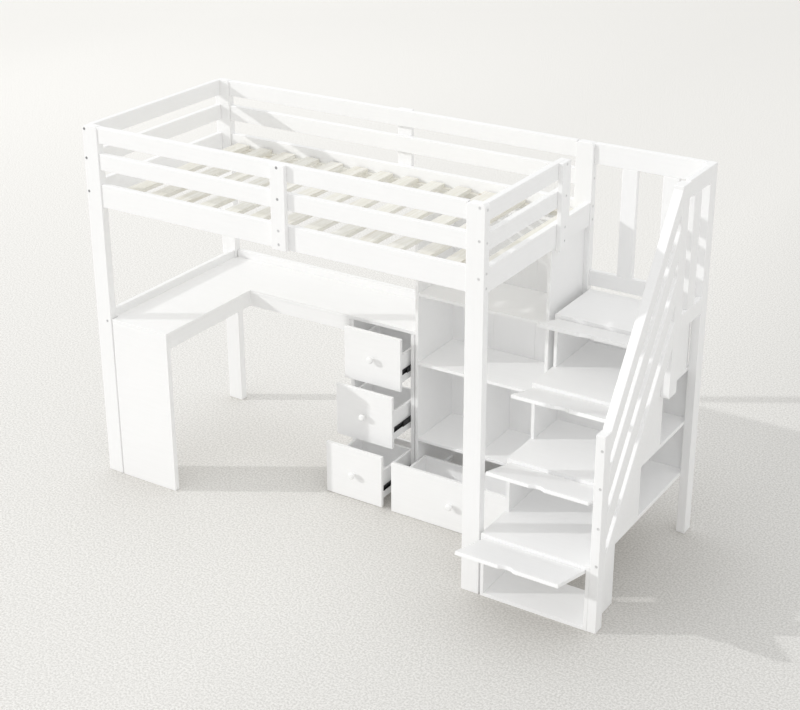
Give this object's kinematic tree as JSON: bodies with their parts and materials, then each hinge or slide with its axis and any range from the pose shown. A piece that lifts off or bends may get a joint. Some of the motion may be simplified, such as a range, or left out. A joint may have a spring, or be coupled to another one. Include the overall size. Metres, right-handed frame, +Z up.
{
  "type": "loft bed with desk",
  "caption": "White loft bed with slatted base and guard rails over an L-shaped desk, drawer cabinet and bookshelf, with a storage staircase and flap-door steps.",
  "frame": {"origin": "centre of the front-left post's foot, on the floor", "axes": "+X along the bed towards the staircase, +Y from front to back, +Z up"},
  "size_m": [2.631, 1.2569, 1.752],
  "materials": {
    "white_lacquer": "smooth white lacquer on pine and board, satin",
    "beaded_panel": "white lacquer on a grooved back panel, satin",
    "knob_lacquer": "white lacquer on turned wood, semi-gloss",
    "bare_pine": "planed pine, unpainted",
    "black_slide_steel": "black coated steel",
    "zinc_bolt": "zinc plated",
    "pivot_steel": "turned steel"
  },
  "bodies": {
    "frame": {"front_left_post": "white_lacquer", "front_right_post": "white_lacquer", "back_left_post": "white_lacquer", "back_right_post": "white_lacquer", "long_guard_rails": "white_lacquer", "end_guard_rails": "white_lacquer", "side_rails": "white_lacquer", "end_rails": "white_lacquer", "guard_stiles": "white_lacquer", "slat_cleats": "bare_pine", "bed_slats": "bare_pine", "desk_top": "white_lacquer", "desk_front_panel": "white_lacquer", "desk_aprons": "white_lacquer", "desk_upstands": "white_lacquer", "cabinet_frame": "white_lacquer", "slide_cabinet_members": "black_slide_steel", "bookshelf_sides": "white_lacquer", "bookshelf_shelves": "white_lacquer", "bookshelf_divider": "white_lacquer", "bookshelf_back": "beaded_panel", "wide_drawer_runners": "white_lacquer", "step_1": "white_lacquer", "step_2": "white_lacquer", "step_3": "white_lacquer", "landing": "white_lacquer", "stair_left_panels": "white_lacquer", "stair_right_panels": "white_lacquer", "stair_dividers": "white_lacquer", "flap_pivots": "pivot_steel", "newel_post": "white_lacquer", "hanging_post": "white_lacquer", "corner_post": "white_lacquer", "handrail": "white_lacquer", "guard_boards": "white_lacquer", "landing_rails": "white_lacquer", "landing_balusters": "white_lacquer", "bolts": "zinc_bolt"},
    "top_drawer": {"top_drawer_front": "white_lacquer", "top_drawer_box": "white_lacquer", "top_drawer_knob": "knob_lacquer", "top_slide_members": "black_slide_steel"},
    "top_slide_middle_pair": {"top_slide_middles": "black_slide_steel"},
    "middle_drawer": {"middle_drawer_front": "white_lacquer", "middle_drawer_box": "white_lacquer", "middle_drawer_knob": "knob_lacquer", "middle_slide_members": "black_slide_steel"},
    "middle_slide_middle_pair": {"middle_slide_middles": "black_slide_steel"},
    "bottom_drawer": {"bottom_drawer_front": "white_lacquer", "bottom_drawer_box": "white_lacquer", "bottom_drawer_knob": "knob_lacquer", "bottom_slide_members": "black_slide_steel"},
    "bottom_slide_middle_pair": {"bottom_slide_middles": "black_slide_steel"},
    "wide_drawer": {"wide_drawer_front": "white_lacquer", "wide_drawer_box": "white_lacquer", "wide_drawer_knob": "knob_lacquer"},
    "flap_door_1": {"flap_1": "white_lacquer"},
    "flap_door_2": {"flap_2": "white_lacquer"},
    "flap_door_3": {"flap_3": "white_lacquer"},
    "flap_door_4": {"flap_4": "white_lacquer"}
  },
  "joints": [
    {"name": "top_drawer_slide", "type": "slide", "parent": "frame", "child": "top_drawer", "axis": [0, -1, 0], "range_m": [-0.086, 0.184]},
    {"name": "middle_drawer_slide", "type": "slide", "parent": "frame", "child": "middle_drawer", "axis": [0, -1, 0], "range_m": [-0.159, 0.111]},
    {"name": "bottom_drawer_slide", "type": "slide", "parent": "frame", "child": "bottom_drawer", "axis": [0, -1, 0], "range_m": [-0.252, 0.018]},
    {"name": "top_slide_middle_travel", "type": "slide", "parent": "frame", "child": "top_slide_middle_pair", "axis": [0, -1, 0], "range_m": [-0.043, 0.092]},
    {"name": "middle_slide_middle_travel", "type": "slide", "parent": "frame", "child": "middle_slide_middle_pair", "axis": [0, -1, 0], "range_m": [-0.0795, 0.0555]},
    {"name": "bottom_slide_middle_travel", "type": "slide", "parent": "frame", "child": "bottom_slide_middle_pair", "axis": [0, -1, 0], "range_m": [-0.126, 0.009]},
    {"name": "wide_drawer_slide", "type": "slide", "parent": "frame", "child": "wide_drawer", "axis": [0, -1, 0], "range_m": [-0.243, 0.017]},
    {"name": "flap_1_hinge", "type": "hinge", "parent": "frame", "child": "flap_door_1", "pos_m": [2.2965, -0.014, 0.28], "axis": [1, 0, 0], "range_deg": [0, 105]},
    {"name": "flap_2_hinge", "type": "hinge", "parent": "frame", "child": "flap_door_2", "pos_m": [2.2965, 0.201, 0.537], "axis": [1, 0, 0], "range_deg": [0, 105]},
    {"name": "flap_3_hinge", "type": "hinge", "parent": "frame", "child": "flap_door_3", "pos_m": [2.2965, 0.412, 0.803], "axis": [1, 0, 0], "range_deg": [0, 105]},
    {"name": "flap_4_hinge", "type": "hinge", "parent": "frame", "child": "flap_door_4", "pos_m": [2.2965, 0.606, 1.051], "axis": [1, 0, 0], "range_deg": [0, 105]}
  ],
  "couplings": [
    {"joint": "top_slide_middle_travel", "follows": "top_drawer_slide", "ratio": 0.5},
    {"joint": "middle_slide_middle_travel", "follows": "middle_drawer_slide", "ratio": 0.5},
    {"joint": "bottom_slide_middle_travel", "follows": "bottom_drawer_slide", "ratio": 0.5}
  ]
}
